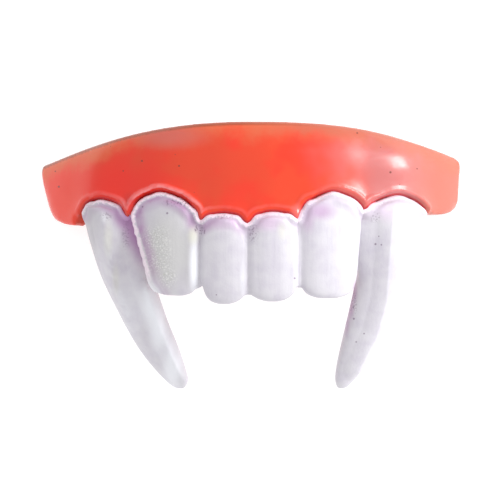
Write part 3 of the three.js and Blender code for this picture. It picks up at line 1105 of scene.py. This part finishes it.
# the brightest spots in this table are painted light on lit strips and facets, and the shade and purple spots
# are painted shade
paint_spots = [
    (-4.2, 5.0, 2.4, 0.9, pearl_pink, 0.35),
    (2.7, 5.2, 1.6, 1.1, pearl_pink, 0.6),
    (10.7, 6.9, 1.9, 1.1, pearl_mauve, 1.0),
    (8.9, 5.6, 0.8, 1.6, pearl_mauve, 0.6),
    (-8.5, -1.6, 0.6, 3.4, pearl_painted_light, 1.0),
    (-1.1, -3.0, 0.35, 2.2, pearl_painted_light, 0.3),
    (-24.6, 4.0, 1.3, 5.0, pearl_shade, 0.7),
    (-15.0, -7.4, 1.5, 2.8, pearl_painted_light, 1.0),
    (-14.0, -11.2, 1.3, 3.2, pearl_painted_light, 0.9),
    (-11.9, -17.0, 1.4, 3.2, pearl_painted_light, 0.9),
    (-18.2, -7.5, 1.6, 4.0, pearl_painted_light, 0.3),
    (-12.4, -9.8, 0.8, 3.0, pearl_shade, 0.5),
    (-11.2, -13.8, 0.8, 2.6, pearl_shade, 0.6),
    (-10.1, -17.2, 0.8, 2.4, pearl_shade, 0.6),
    (21.0, 6.6, 1.4, 1.2, pearl_pink, 0.3),
    # painted shade along the left edge of the right fang
    (16.0, -5.4, 0.4, 1.4, pearl_purple_shade, 0.6),
    (15.5, -7.8, 0.45, 1.6, pearl_purple_shade, 0.6),
    (14.9, -10.2, 0.4, 1.6, pearl_purple_shade, 0.5),
    # yellow patches: partly a yellowed stain and partly a painted yellow sheen of the highlights on the fang's
    # ridge and the incisors' lit sides
    (-21.7, 2.8, 0.6, 2.2, pearl_yellow_stain_and_sheen, 0.3),
    (-20.6, -3.4, 0.5, 2.0, pearl_yellow_stain_and_sheen, 0.25),
    (4.9, 3.9, 0.6, 1.1, pearl_yellow_stain_and_sheen, 0.3),
    (-8.6, 3.2, 0.7, 1.2, pearl_yellow_stain_and_sheen, 0.5),
]
chip_patches = [
    (-11.0, 8.2, 2.0, 0.5, 0.7),
    (-7.3, 3.8, 0.5, 0.6, 0.9),
    (-8.1, 4.2, 0.3, 0.5, 0.8),
    (-4.0, 6.0, 1.8, 0.4, 0.35),
    (0.5, 3.6, 0.7, 1.3, 0.5),
    (15.9, -7.2, 0.5, 2.0, 0.6),
    (19.2, 6.0, 0.8, 0.8, 0.35),
    (-22.0, 6.2, 0.8, 0.6, 0.4),
    (-19.0, 3.2, 0.6, 1.8, 0.35),
]
tooth_specks = [
    (19.2, 1.9, 0.16),
    (20.1, 1.8, 0.12),
    (19.7, 3.1, 0.10),
    (16.0, -9.6, 0.15),
    (17.6, -11.9, 0.12),
    (16.4, -13.2, 0.12),
    (6.8, -3.3, 0.14),
    (-12.6, 6.6, 0.16),
    (-16.4, 7.6, 0.13),
    (-5.1, -5.8, 0.10),
]

pearl_paint, tree, shader = material("pearl_paint")
place = node(tree, "ShaderNodeTexCoord").outputs["Object"]
x, y = node(tree, "ShaderNodeSeparateXYZ", {0: place}).outputs[:2]
blotches = cloud(tree, place, 420.0, 4.0)
fine_blotches = cloud(tree, place, 2200.0, 3.0)
brushed = use(tree, grain_group, Vector=place, Scale=2200.0, Stretch=(1, 0.06, 1))
colour = mixed(tree, ranged(tree, blotches, 0.3, 0.7), pearl, pearl_light)
colour = mixed(tree, ranged(tree, brushed, 0.4, 0.65, 0.0, 0.35), colour, pearl_light)
on_left = ranged(tree, x, 3 * MM, -6 * MM)
patch = spot(tree, place, -12.7, 0.8, 3.6, 5.4, 0.5)
colour = mixed(tree, times(tree, patch, 0.8), colour, pearl_grey)
to_margin = kept(tree, "to_edge")
# painted shade: purple in the groove below each rim, stronger at the left and near the top
groove_shade = times(tree, ranged(tree, to_margin, 0.45, 0.8), ranged(tree, to_margin, 2.8, 0.9))
smudged = ranged(tree, blotches, 0.3, 0.6, 0.5, 1.0)
groove_left = ranged(tree, x, 4 * MM, -8 * MM, 0.25, 0.85)
groove_high = ranged(tree, y, -5 * MM, 5 * MM, 0.45, 1.0)
colour = mixed(tree, times(tree, groove_shade, smudged, groove_left, groove_high), colour, pearl_purple_shade)
ragged_edge = maths(tree, "ADD", to_margin, maths(tree, "MULTIPLY", fine_blotches, 1.2))
at_rim = ranged(tree, ragged_edge, 1.25, 0.85)
rim_high = ranged(tree, y, 2 * MM, 7 * MM, 0.6, 1.0)
rim_end = ranged(tree, y, -5 * MM, -2 * MM)
colour = mixed(tree, times(tree, at_rim, rim_high, rim_end), colour, pearl_rim)
# a painted highlight along the ridges of the left fang, below the rim
on_ridge = ranged(tree, kept(tree, "to_ridge"), 0.9, 0.1, 0.0, 0.3)
ridge_light = times(tree, on_ridge, ranged(tree, blotches, 0.35, 0.6), on_left)
below_rim = ranged(tree, to_margin, 1.2, 2.4)
colour = mixed(tree, times(tree, ridge_light, below_rim), colour, pearl_painted_light)
# painted shade: purple in the crevice where the left fang passes behind the outer crown
crevice_shade = ranged(tree, kept(tree, "to_neighbour"), 3.2, 0.5)
colour = mixed(tree, times(tree, crevice_shade, on_left, ranged(tree, y, -5.4 * MM, -4 * MM)), colour, pearl_purple_shade)
for at_x, at_y, wide, high, paint, share in paint_spots:
    mask = times(tree, spot(tree, place, at_x, at_y, wide, high, 0.8), share)
    colour = mixed(tree, mask, colour, paint)
rough_patch = spot(tree, place, -14.3, 2.7, 1.9, 1.9, 0.6)
for at_x, at_y, wide, high in ((-13.6, -0.2, 1.7, 2.3), (-12.5, -3.2, 1.2, 1.5)):
    rough_patch = maths(tree, "MAXIMUM", rough_patch, spot(tree, place, at_x, at_y, wide, high, 0.6))
rough_patch = times(tree, rough_patch, ranged(tree, blotches, 0.3, 0.5, 0.4, 1.0))
# the rough patch: white flecks, partly flecks in the paint and partly painted sparkle, and darker pits
sparkle = cloud(tree, place, 4200.0)
flecks = ranged(tree, sparkle, 0.52, 0.62)
pits = ranged(tree, sparkle, 0.44, 0.34, 0.0, 0.6)
colour = mixed(tree, times(tree, flecks, rough_patch, 0.6), colour, fleck_white_and_sparkle)
colour = mixed(tree, times(tree, pits, rough_patch), colour, pearl_pit)
chips = ranged(tree, cloud(tree, place, 3300.0), 0.54, 0.58)
for at_x, at_y, wide, high, share in chip_patches:
    mask = times(tree, spot(tree, place, at_x, at_y, wide, high, 0.5), chips, share)
    colour = mixed(tree, mask, colour, tooth_dirt)
for at_x, at_y, size in tooth_specks:
    mask = times(tree, spot(tree, place, at_x, at_y, size, size, 0.4), 0.7)
    colour = mixed(tree, mask, colour, tooth_dirt)
feed(shader.inputs["Base Color"], colour)
shader.inputs["Specular IOR Level"].default_value = 0.35
roughness = ranged(tree, fine_blotches, 0.3, 0.7, 0.28, 0.42)
feed(shader.inputs["Roughness"], maths(tree, "ADD", roughness, maths(tree, "MULTIPLY", rough_patch, 0.25)))
fine = use(tree, grain_group, Vector=place, Scale=3500.0)
height = maths(tree, "ADD", maths(tree, "MULTIPLY", fine, 0.5), maths(tree, "MULTIPLY", brushed, 0.6))
height = maths(tree, "ADD", height, times(tree, flecks, rough_patch, 0.8))
bump = node(tree, "ShaderNodeBump", {"Strength": 0.7, "Distance": 0.06 * MM, "Height": height})
feed(shader.inputs["Normal"], bump.outputs[0])
for crown in crowns.values():
    crown.data.materials.clear()
    crown.data.materials.append(pearl_paint)
print("made", pearl_paint.name)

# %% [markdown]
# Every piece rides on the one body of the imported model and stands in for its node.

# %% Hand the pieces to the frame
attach(gum, "root")
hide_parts("gum_band")
for name, crown in crowns.items():
    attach(crown, "root")
    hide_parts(name)
